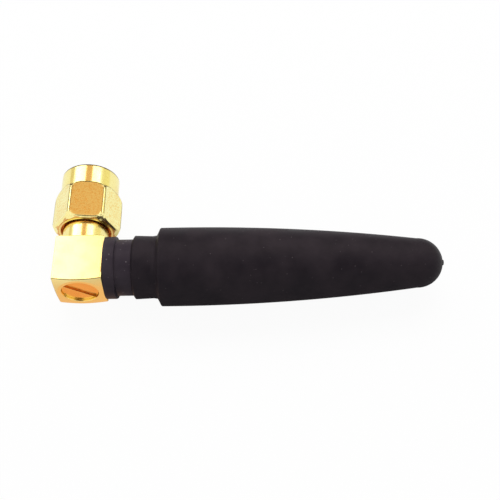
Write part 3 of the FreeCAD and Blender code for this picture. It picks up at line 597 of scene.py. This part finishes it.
nutSizes = {
    "flat": 4.0, "corner": 0.42, "turn": 7.5, "turned": 3.97, "slope": 1.1, "rearSlope": 0.7,
    "edge": 0.24, "rear": 5.58, "hexEnd": 11.38, "collar": 3.92, "mouthEnd": 14.28, "collarEdge": 0.3,
    "flatSteps": 30, "sideRows": 41, "collarRows": 9,
    "endCorner": 1.3, "frontSoftening": 1.7, "rearSoftening": 0.9,
    "faceHalf": 2.07, "faceStart": 6.0, "faceEnd": 11.25, "faceCorner": 1.0, "faceFall": 0.8,
    "faceEdge": 0.4,
    "mouthBore": 3.25, "mouthFloor": 13.3, "threadStart": 9.7, "minor": 2.83, "threadDepth": 0.34,
    "pitch": 0.7056, "rootShare": 0.16, "flankShare": 0.7, "runOut": 0.3, "threadRows": 92,
    "relief": 3.2, "reliefStart": 8.5, "running": 2.8, "grooveEnd": 7.88, "grooveStart": 7.12,
    "groove": 3.03, "rearBore": 3.31, "rearBoreEnd": 6.38, "rearRim": 0.1,
    # What is painted otherwise, the milled flats and the painted dark lines, reflection and shade:
    # leans are of the faces' normals, from -1 at the rear to 1 in front
    "flatLean": 0.05, "flatMargin": 0.02, "flatEnd": 0.05, "hairline": 0.01,
    "mouthLine": 0.36, "mouthLeans": (0.1, 0.95), "frontLine": 1.2, "frontLeans": (0.1, 0.6),
    "lineFrom": 1.4, "lineTo": 2.75,  # degrees from the nearest corner
    "lineMargin": 0.3, "lineLean": 0.2,
    "darkLine": 0.1, "rearLine": 0.15, "rearLeans": (-1.1, -0.85), "boreLine": 0.09,
}


# A hexagon at each station of the sides, and circles on the same angles round the collar, through the
# mouth and the thread, and back through the bores to the rear face
def makeNut(n):
    turn = -np.radians(n["turn"]) + np.pi / 2
    angle, outline = polygonRing(6, n["flat"], n["corner"], turn, n["flatSteps"])
    ends = n["rear"], n["hexEnd"], (n["turned"], n["rearSlope"]), (n["turned"], n["slope"])
    sideRadius, sideStation = milledRows(outline, *ends, n["edge"], n["sideRows"])
    # Towards both ends the corners grow rounder: the same flats, joined by a larger arc
    rounder = roundedCorners(angle - turn, 6, n["flat"], n["endCorner"])
    nearEnd = np.maximum(
        np.clip(1 - (n["hexEnd"] - sideStation) / n["frontSoftening"], 0, 1),
        np.clip(1 - (sideStation - n["rear"]) / n["rearSoftening"], 0, 1),
    )
    sideRadius = sideRadius + np.minimum(rounder - outline, 0) * nearEnd ** 2
    # Each flat is flat inside a rectangle with round corners, and falls away beyond it with the square
    # of the distance. The end faces stay as they are.
    aside = np.abs((angle - turn + np.pi / 6) % (np.pi / 3) - np.pi / 6)
    aside = np.minimum(n["flat"] * np.tan(aside), n["faceHalf"])
    halfway, half = (n["faceStart"] + n["faceEnd"]) / 2, (n["faceEnd"] - n["faceStart"]) / 2
    pastSide = np.maximum(aside - n["faceHalf"] + n["faceCorner"], 0)
    pastEnd = np.maximum(np.abs(sideStation - halfway) - half + n["faceCorner"], 0)
    past = np.clip(np.hypot(pastSide, pastEnd) - n["faceCorner"], 0, n["faceEdge"])
    outside = np.clip((sideRadius - n["turned"] + n["edge"]) / n["edge"], 0, 1)
    sideRadius = sideRadius - n["faceFall"] * past ** 2 * outside
    # The front cone's last rows end on the collar's wall
    ending = slice(-n["collarRows"], None)
    sideRadius[ending] = np.maximum(sideRadius[ending], n["collar"])

    def ringRows(section):
        return np.repeat(section.T[:, :, None], len(angle), axis=2)

    # In both sections the first and the last corners only turn the ends the right way
    frontRadius, frontStation = ringRows(roundedSection([
        (n["collar"], n["hexEnd"], 0.0),
        (n["collar"], n["mouthEnd"], n["collarEdge"]),
        (n["mouthBore"], n["mouthEnd"], 0.06),
        (n["mouthBore"], n["mouthFloor"], 0.03),
        (n["minor"], n["mouthFloor"], 0.0),
        (n["minor"], n["hexEnd"], 0.0),
    ])[cornerRows - 1:-2 * cornerRows])
    rearRadius, rearStation = ringRows(roundedSection([
        (n["minor"], n["threadStart"], 0.0),
        (n["relief"], n["threadStart"], 0.03),
        (n["relief"], n["reliefStart"], 0.03),
        (n["running"], n["reliefStart"], 0.03),
        (n["running"], n["grooveEnd"], 0.03),
        (n["groove"], n["grooveEnd"], 0.03),
        (n["groove"], n["grooveStart"], 0.03),
        (n["running"], n["grooveStart"], 0.03),
        (n["running"], n["rearBoreEnd"], 0.03),
        (n["rearBore"], n["rearBoreEnd"], 0.03),
        (n["rearBore"], n["rear"], n["rearRim"]),
        (n["turned"] - n["edge"] - n["darkLine"], n["rear"], 0.0),
        (n["turned"] - n["edge"], n["rear"], 0.0),
    ])[cornerRows:-cornerRows])
    # Thread: r = minor + depth * clipped triangle wave of (station / pitch + angle / full turn), which
    # is a right-hand thread, and the depth runs out to nothing at both ends
    along = np.linspace(n["mouthFloor"], n["threadStart"], n["threadRows"])[:, None]
    wave = (along / n["pitch"] + angle / (2 * np.pi)) % 1.0
    ridge = np.clip((np.abs(2 * wave - 1) - n["rootShare"]) / n["flankShare"], 0, 1)
    runIn = np.clip((along - n["threadStart"]) / n["runOut"], 0, 1)
    runOut = np.clip((n["mouthFloor"] - along) / n["runOut"], 0, 1)
    threadRadius = n["minor"] + n["threadDepth"] * ridge * (runIn * runOut)
    threadStation = np.repeat(along, len(angle), axis=1)
    radius = np.concatenate([sideRadius, frontRadius, threadRadius, rearRadius])
    station = np.concatenate([sideStation, frontStation, threadStation, rearStation])
    nut = gridPiece("hex_coupling_nut", aboutPlug(radius, station, angle))
    golds = [goldTurned, goldMilled, goldPaintedBoreShade, goldPaintedDarkLine, goldPaintedDeepShade]
    finishPiece(nut, "nut", "coupling_nut", golds)
    x, station, z, lean = faceMiddles(nut)
    out = np.hypot(x, z)
    onSide = (np.abs(lean) < n["flatLean"]) & (out > n["flat"] - n["flatMargin"])
    paintFaces(nut, goldMilled, onSide & (station < n["hexEnd"] - n["flatEnd"]))
    # Painted dark lines, standing in for edges that mirror darker surroundings: at the collar's mouth
    # and at the hexagon's front end ...
    atMouth = within(lean, *n["mouthLeans"]) & (out > n["collar"] - n["collarEdge"])
    paintFaces(nut, goldPaintedDarkLine, atMouth & (station > n["mouthEnd"] - n["mouthLine"]))
    atFront = within(lean, *n["frontLeans"]) & (out > n["collar"] + n["hairline"])
    paintFaces(nut, goldPaintedDarkLine, atFront & within(station, n["hexEnd"] - n["frontLine"], n["hexEnd"]))
    # ... and thin ones on both sides of each long edge, by the angle from the nearest corner
    fromCorner = np.degrees(np.abs((np.arctan2(z, x) - turn) % (np.pi / 3) - np.pi / 6))
    besideEdge = within(fromCorner, n["lineFrom"], n["lineTo"]) & (np.abs(lean) < n["lineLean"])
    lineEnds = n["rear"] + n["lineMargin"], n["hexEnd"] - n["lineMargin"]
    paintFaces(nut, goldPaintedDarkLine, besideEdge & within(station, *lineEnds))
    # A coppery ring round the rear face, a painted reflection of the gold it faces, and a redder one
    # where its bore begins, painted shade in the gap
    ringInside = n["turned"] - n["edge"] - n["darkLine"] + n["hairline"]
    onRing = within(lean, *n["rearLeans"]) & (out > ringInside)
    paintFaces(nut, goldPaintedDeepShade, onRing & (station < n["rear"] + n["rearLine"]))
    inBore = (station < n["reliefStart"]) & (out < n["rearBore"] + n["boreLine"])
    paintFaces(nut, goldPaintedBoreShade, inBore)


makeNut(nutSizes)


# A closed section of corners (radius, station, rounding), each of its points carried round a circle
def turnedPiece(name, section, around, columns, steps=5):
    angle = np.linspace(0, 2 * np.pi, columns, endpoint=False)
    path = roundedSection(section, steps)
    return gridPiece(name, around(path[:, :1], path[:, 1:], angle[None]))


barrelSizes = {
    "bore": 2.07, "spigot": 2.5, "spigotStart": 3.6, "collarStart": 6.2, "collar": 2.74,
    "grooveStart": 7.12, "grooveEnd": 7.88, "groove": 2.27, "collarEnd": 8.7, "seat": 2.46,
    "seatEnd": 9.3, "contact": 2.29, "end": 11.3, "rounding": 0.06,
}


def makeBarrel(b):
    barrel = turnedPiece("contact_barrel", [
        (b["bore"], b["spigotStart"], 0.02),
        (b["spigot"], b["spigotStart"], 0.02),
        (b["spigot"], b["collarStart"], 0.02),
        (b["collar"], b["collarStart"], 0.05),
        (b["collar"], b["grooveStart"], 0.02),
        (b["groove"], b["grooveStart"], 0.02),
        (b["groove"], b["grooveEnd"], 0.02),
        (b["collar"], b["grooveEnd"], 0.02),
        (b["collar"], b["collarEnd"], 0.05),
        (b["seat"], b["collarEnd"], 0.02),
        (b["seat"], b["seatEnd"], 0.04),
        (b["contact"], b["seatEnd"], 0.02),
        (b["contact"], b["end"], b["rounding"] + 0.03),
        (b["bore"], b["end"], b["rounding"]),
    ], aboutPlug, 128)
    finishPiece(barrel, "antenna", "plug_barrel", [goldTurned])


pinSizes = {
    "rod": 0.635, "back": -0.9, "shoulder": 11.25, "pin": 0.46, "taper": 12.95, "tip": 0.2,
    "end": 13.25,
}


def makePin(p):
    pin = turnedPiece("centre_pin", [
        (0.0, p["back"], 0.0),
        (p["rod"], p["back"], 0.04),
        (p["rod"], p["shoulder"], 0.05),
        (p["pin"], p["shoulder"], 0.04),
        (p["pin"], p["taper"], 0.1),
        (p["tip"], p["end"], 0.1),
        (0.0, p["end"], 0.0),
    ], aboutPlug, 96, 7)
    finishPiece(pin, "antenna", "centre_contact", [goldTurned])


bushSizes = {"bore": 0.645, "outside": 2.05, "rear": 1.6, "front": 11.25}


def makeBush(b):
    bush = turnedPiece("insulator_bush", [
        (b["bore"], b["rear"], 0.03),
        (b["outside"], b["rear"], 0.05),
        (b["outside"], b["front"], 0.05),
        (b["bore"], b["front"], 0.04),
    ], aboutPlug, 128)
    finishPiece(bush, "antenna", "front_insulator", [insulatorWhite])


gasketSizes = {"inner": 2.47, "outer": 2.81, "start": 8.7, "end": 9.3, "rounding": 0.1}


def makeGasket(g):
    gasket = turnedPiece("gasket_ring", [
        (g["inner"], g["start"], g["rounding"]),
        (g["outer"], g["start"], g["rounding"]),
        (g["outer"], g["end"], g["rounding"]),
        (g["inner"], g["end"], g["rounding"]),
    ], aboutPlug, 128)
    finishPiece(gasket, "antenna", "sealing_gasket", [gasketRed])


makeBarrel(barrelSizes)
makePin(pinSizes)
makeBush(bushSizes)
makeGasket(gasketSizes)


bootSizes = {
    "start": 3.2, "flange": 4.09, "flangeEnd": 4.68, "flangeRounding": 0.22, "neck": 3.705,
    "lip": 6.8, "stub": 3.0, "stubEnd": 12.9, "bore": 1.7, "recess": 2.35, "recessEnd": 3.7,
}


def makeBoot(b):
    boot = turnedPiece("moulded_boot", [
        (b["recess"], b["start"], 0.03),
        (b["recess"], b["recessEnd"], 0.03),
        (b["bore"], b["recessEnd"], 0.03),
        (b["bore"], b["stubEnd"], 0.05),
        (b["stub"], b["stubEnd"], 0.1),
        (b["stub"], b["lip"], 0.03),
        (b["neck"], b["lip"], 0.03),
        (b["neck"], b["flangeEnd"], 0.06),
        (b["flange"], b["flangeEnd"], b["flangeRounding"]),
        (b["flange"], b["start"], 0.08),
    ], aboutWhip, 160)
    finishPiece(boot, "antenna", "base_boot", [plasticBlack])


sheathSizes = {
    "lip": 6.8, "lipRadius": 3.75, "lipEnd": 7.08, "collar": 4.18, "collarEnd": 9.4,
    "collarEndRadius": 4.09, "foot": 9.95, "footRadius": 4.17, "top": 10.45, "topRadius": 5.17,
    "topRounding": 0.14, "taperStart": 11.05, "taperStartRadius": 5.164, "taperRadius": 252.0,
    "domeStart": 43.95, "domeRadius": 3.26, "domeEnd": 47.31, "nub": 0.37, "nubEnd": 47.5,
    "socket": 3.02, "socketEnd": 12.95, "cavity": 2.67, "cavityEnd": 41.8,
    "shoulderSteps": 9, "taperSteps": 60, "domeSteps": 30, "columns": 192,
}


# Points on an arc of a given radius from one point to another, bulging to the side of larger radius:
# centre + radius * (cos, sin), with the angle moving evenly between the two ends.
def arcPoints(start, end, radius, count):
    start, end = np.array(start), np.array(end)
    half = (end - start) / 2
    outward = np.array([half[1], -half[0]])
    outward = outward / np.linalg.norm(outward) * np.sign(outward[0])
    centre = start + half - outward * np.sqrt(radius ** 2 - half @ half)
    first = np.arctan2(*(start - centre)[::-1])
    last = np.arctan2(*(end - centre)[::-1])
    turn = np.linspace(first, last, count)
    return centre + radius * np.stack([np.cos(turn), np.sin(turn)], axis=1)


# The section runs from the cavity out over lip, collar and shoulder, along the taper, which is an arc
# of a very large circle, and over the dome, an arc through the nub's foot with its centre on the axis
def makeSheath(s):
    # The first corner and the last only turn the ends the right way
    shoulderRows = s["shoulderSteps"] + 2
    lipAndShoulder = roundedSection([
        (s["nub"], s["nubEnd"], 0.0),
        (0.0, s["nubEnd"], 0.0),
        (0.0, s["cavityEnd"], 0.0),
        (s["cavity"], s["cavityEnd"], 0.05),
        (s["cavity"], s["socketEnd"], 0.03),
        (s["socket"], s["socketEnd"], 0.03),
        (s["socket"], s["lip"], 0.03),
        (s["lipRadius"], s["lip"], 0.05),
        (s["collar"], s["lipEnd"], 0.06),
        (s["collarEndRadius"], s["collarEnd"], 0.05),
        (s["footRadius"], s["foot"], 0.05),
        (s["topRadius"], s["top"], s["topRounding"]),
        (s["domeRadius"], s["domeStart"], 0.0),
    ], s["shoulderSteps"])[shoulderRows + 1:-shoulderRows]
    taperStart, domeFoot = (s["taperStartRadius"], s["taperStart"]), (s["domeRadius"], s["domeStart"])
    taper = arcPoints(taperStart, domeFoot, s["taperRadius"], s["taperSteps"])
    reach = s["domeEnd"] - s["domeStart"]
    centre = (reach ** 2 - s["domeRadius"] ** 2 + s["nub"] ** 2) / (2 * reach)
    domeSize = float(np.hypot(s["domeRadius"], centre))
    dome = arcPoints(domeFoot, (s["nub"] + 0.04, s["domeEnd"]), domeSize, s["domeSteps"])[1:]
    nub = np.array([
        (s["nub"] + 0.01, s["domeEnd"] + 0.015),
        (s["nub"], s["domeEnd"] + 0.05),
        (s["nub"], s["nubEnd"] - 0.08),
        (s["nub"] - 0.02, s["nubEnd"] - 0.025),
        (s["nub"] - 0.08, s["nubEnd"]),
        (0.0, s["nubEnd"]),
    ])
    path = np.concatenate([lipAndShoulder, taper, dome, nub])
    angle = np.linspace(0, 2 * np.pi, s["columns"], endpoint=False)
    sheath = gridPiece("whip_sheath", aboutWhip(path[:, :1], path[:, 1:], angle[None]))
    finishPiece(sheath, "antenna", "rubber_sheath", [rubberBlack])


makeBoot(bootSizes)
makeSheath(sheathSizes)

keptFinishes = {
    "rear_insulator": insulatorWhite, "feed_dielectric": insulatorWhite,
    "retaining_ring": bronzeWire, "helical_radiator": bronzeWire,
    "tail_spigot": brassBare, "crimp_ferrule": brassBare, "coil_terminal": brassBare,
    "feed_conductor": silverWire, "feed_braid": silverWire,
    "feed_jacket": jacketBrown, "coil_former": plasticNatural, "coil_sleeve": plasticBlack,
}
for node, material in keptFinishes.items():
    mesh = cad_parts[node].data
    mesh.materials.clear()
    mesh.materials.append(material)
print("kept pieces finished:", len(keptFinishes))


white = (1, 1, 1, 1)
stageSizes = {
    "floorSide": 3.0, "floorRoughness": 0.9, "floorColour": (0.5, 0.5, 0.5, 1),
    "cameraColour": (0.98, 0.98, 0.98, 1), "cameraWhite": 0.95, "metalWhite": 0.9,
    "shadeMiddle": (0.0, -0.017, -0.005), "shadeStart": 0.008, "shadeReach": 0.044,
    "shadeFrom": 0.005, "shadeTo": 0.016,
    "warmMiddle": (0.0, -0.0165, -0.005), "warmFrom": 0.0045, "warmTo": 0.013,
    "warmFades": 0.0042, "warmEnds": 0.0062, "warmColour": (0.88, 0.53, 0.34, 1),
}


def makeFloor(s):
    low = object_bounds()[0][2]
    half = s["floorSide"] / 2
    corners = [(-half, -half, low), (half, -half, low), (half, half, low), (-half, half, low)]
    mesh = bpy.data.meshes.new("studio_floor")
    mesh.from_pydata(corners, [], [(0, 1, 2, 3)])
    floor = bpy.data.objects.new("studio_floor", mesh)
    scene.collection.objects.link(floor)
    floor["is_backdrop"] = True
    material = bpy.data.materials.new("paperFloor")
    material.use_nodes = True
    tree = material.node_tree
    link = tree.links.new
    shader = tree.nodes["Principled BSDF"]
    shader.inputs["Roughness"].default_value = s["floorRoughness"]
    shader.inputs["Specular IOR Level"].default_value = 0.0
    glow = addNode(tree, "ShaderNodeEmission", {"Strength": 1.0})
    path = addNode(tree, "ShaderNodeLightPath")
    camera, metalRay = path.outputs["Is Camera Ray"], path.outputs["Is Glossy Ray"]

    def distanceFrom(middle, place):
        away = addNode(tree, "ShaderNodeVectorMath", {1: middle}, operation="DISTANCE")
        link(place, away.inputs[0])
        return away.outputs["Value"]

    # The camera sees paper that is mostly white of itself and takes a faint shadow from the part
    link(blendColour(tree, camera, s["floorColour"], s["cameraColour"]), shader.inputs["Base Color"])
    direct = maths(tree, "MULTIPLY", camera, s["cameraWhite"])
    # Reflections show the paper white, except close in front of the whip, where they show the real
    # shadow. The distance is from a line along X: as much of X as lies along the line is taken away,
    # and the distance from the line's own point is left.
    place = addNode(tree, "ShaderNodeTexCoord").outputs["Object"]
    spot = addNode(tree, "ShaderNodeSeparateXYZ")
    link(place, spot.inputs[0])
    along = maths(tree, "MINIMUM", spot.outputs["X"], s["shadeReach"])
    along = maths(tree, "MAXIMUM", along, s["shadeStart"])
    beside = addNode(tree, "ShaderNodeCombineXYZ")
    link(maths(tree, "SUBTRACT", spot.outputs["X"], along), beside.inputs[0])
    link(spot.outputs["Y"], beside.inputs[1])
    link(spot.outputs["Z"], beside.inputs[2])
    away = distanceFrom(s["shadeMiddle"], beside.outputs[0])
    clear = spread(tree, away, s["shadeFrom"], s["shadeTo"], 0.0, s["metalWhite"])
    mirrored = maths(tree, "MULTIPLY", metalRay, clear)
    # Gold light warms the paper close in front of the block, but not under the whip
    nearBlock = distanceFrom(s["warmMiddle"], place)
    warmth = spread(tree, nearBlock, s["warmFrom"], s["warmTo"], 1.0, 0.0)
    besideWhip = spread(tree, spot.outputs["X"], s["warmFades"], s["warmEnds"], 1.0, 0.0)
    warmth = maths(tree, "MULTIPLY", maths(tree, "MULTIPLY", warmth, besideWhip), metalRay)
    link(blendColour(tree, warmth, white, s["warmColour"]), glow.inputs["Color"])
    share = maths(tree, "MAXIMUM", direct, maths(tree, "MAXIMUM", mirrored, warmth))
    mix = addNode(tree, "ShaderNodeMixShader")
    link(share, mix.inputs[0])
    link(shader.outputs[0], mix.inputs[1])
    link(glow.outputs[0], mix.inputs[2])
    link(mix.outputs[0], tree.nodes["Material Output"].inputs["Surface"])
    mesh.materials.append(material)


# Cards are directions that metal sees dimmed. Each fades in between two cosines from its middle, and
# the gap over the lamps is a band of headings that rise along the plug's axis.
worldSizes = {
    "ambient": 0.38, "seenByMetal": 1.0,
    "cards": {
        "warmWall": {
            "toward": (0.03, 0.54, 0.84), "from": 0.8, "full": 0.93, "colour": (0.8, 0.485, 0.26, 1),
        },
        "sideWall": {
            "toward": (0.79, 0.57, 0.21), "from": 0.93, "full": 0.98, "colour": (0.92, 0.86, 0.55, 1),
        },
        "leftFrame": {
            "toward": (-0.78, 0.57, 0.25), "from": 0.985, "full": 0.996,
            "colour": (0.75, 0.65, 0.42, 1),
        },
        "frontCard": {
            "toward": (0.19, -0.54, 0.82), "from": 0.87, "full": 0.95, "colour": (0.12, 0.08, 0.06, 1),
        },
    },
    "gap": {"start": 0.62, "whole": 0.68, "ending": 0.95, "end": 0.985, "colour": (0.2, 0.15, 0.07, 1)},
}


# White all round, with the cards and the gap for metal alone
def makeWorld(w):
    world = bpy.data.worlds.new("studioWorld")
    scene.world = world
    world.use_nodes = True
    tree = world.node_tree
    link = tree.links.new
    background = tree.nodes["Background"]
    path = addNode(tree, "ShaderNodeLightPath")
    metalRay = path.outputs["Is Glossy Ray"]
    heading = addNode(tree, "ShaderNodeTexCoord").outputs["Generated"]
    colour = white
    for card in w["cards"].values():
        toward = Vector(card["toward"]).normalized()
        near = addNode(tree, "ShaderNodeVectorMath", {1: toward}, operation="DOT_PRODUCT")
        link(heading, near.inputs[0])
        share = spread(tree, near.outputs["Value"], card["from"], card["full"], 0.0, 1.0)
        colour = blendColour(tree, maths(tree, "MULTIPLY", share, metalRay), colour, card["colour"])
    gap = w["gap"]
    parts = addNode(tree, "ShaderNodeSeparateXYZ")
    link(heading, parts.inputs[0])
    rising = spread(tree, parts.outputs["Y"], gap["start"], gap["whole"], 0.0, 1.0)
    falling = spread(tree, parts.outputs["Y"], gap["ending"], gap["end"], 1.0, 0.0)
    share = maths(tree, "MULTIPLY", maths(tree, "MULTIPLY", rising, falling), metalRay)
    link(blendColour(tree, share, colour, gap["colour"]), background.inputs["Color"])
    glossy = maths(tree, "MULTIPLY", metalRay, w["seenByMetal"] - w["ambient"])
    level = maths(tree, "ADD", glossy, w["ambient"])
    link(maths(tree, "MAXIMUM", level, path.outputs["Is Camera Ray"]), background.inputs["Strength"])


# Each lamp is a rectangle that faces the part from a direction. Metal mirrors two of them.
lampTarget = (0.0, -0.006, 0.0)
lampSizes = {
    "leftBox": {
        "toward": (-0.457, 0.54, 0.707), "distance": 0.5, "width": 0.3, "height": 0.26, "roll": 25.0,
        "radiance": 1.95, "mirrored": True,
    },
    "rightBox": {
        "toward": (0.435, 0.54, 0.72), "distance": 0.5, "width": 0.24, "height": 0.3, "roll": 0.0,
        "radiance": 1.8, "mirrored": True,
    },
    "keyBox": {
        "toward": (0.05, 0.45, 0.9), "distance": 0.5, "width": 0.25, "height": 0.25, "roll": 0.0,
        "radiance": 4.8, "mirrored": False,
    },
    "frontBox": {
        "toward": (0.1, -0.75, 0.65), "distance": 0.6, "width": 0.3, "height": 0.3, "roll": 0.0,
        "radiance": 0.2, "mirrored": False,
    },
}


def makeLamps(lamps):
    for name, lamp in lamps.items():
        light = bpy.data.lights.new(name, "AREA")
        light.shape = "RECTANGLE"
        light.size, light.size_y = lamp["width"], lamp["height"]
        light.energy = lamp["radiance"] * np.pi * lamp["width"] * lamp["height"]
        holder = bpy.data.objects.new(name, light)
        scene.collection.objects.link(holder)
        toward = Vector(lamp["toward"]).normalized()
        level = Vector((0, 1, 0)).cross(toward).normalized()
        upright = toward.cross(level)
        roll = np.radians(lamp["roll"])
        across = level * np.cos(roll) + upright * np.sin(roll)
        along = upright * np.cos(roll) - level * np.sin(roll)
        turned = Matrix((across, along, toward)).transposed().to_4x4()
        place = Vector(lampTarget) + toward * lamp["distance"]
        holder.matrix_world = Matrix.Translation(place) @ turned
        holder.visible_camera = False
        holder.visible_glossy = lamp["mirrored"]


cameraSizes = {
    "lens": 61.26, "sensor": 36.0, "nearest": 0.001, "farthest": 20.0,
    "place": (0.02222, -0.06796, 0.096605), "right": (0.99986, -0.01345, -0.00954),
    "up": (0.01645, 0.85304, 0.52159), "ahead": (-0.00112, 0.52167, -0.85314),
}


def makeCamera(c):
    data = bpy.data.cameras.new("productCamera")
    data.lens = c["lens"]
    data.sensor_width = c["sensor"]
    data.sensor_fit = "HORIZONTAL"
    data.clip_start, data.clip_end = c["nearest"], c["farthest"]
    camera = bpy.data.objects.new("productCamera", data)
    scene.collection.objects.link(camera)
    right, up, ahead = Vector(c["right"]), Vector(c["up"]), Vector(c["ahead"])
    turned = Matrix((right, up, -ahead)).transposed().to_4x4()
    camera.matrix_world = Matrix.Translation(c["place"]) @ turned
    scene.camera = camera


makeFloor(stageSizes)
makeWorld(worldSizes)
makeLamps(lampSizes)
makeCamera(cameraSizes)
scene.view_settings.view_transform = "Standard"
print("stage made")
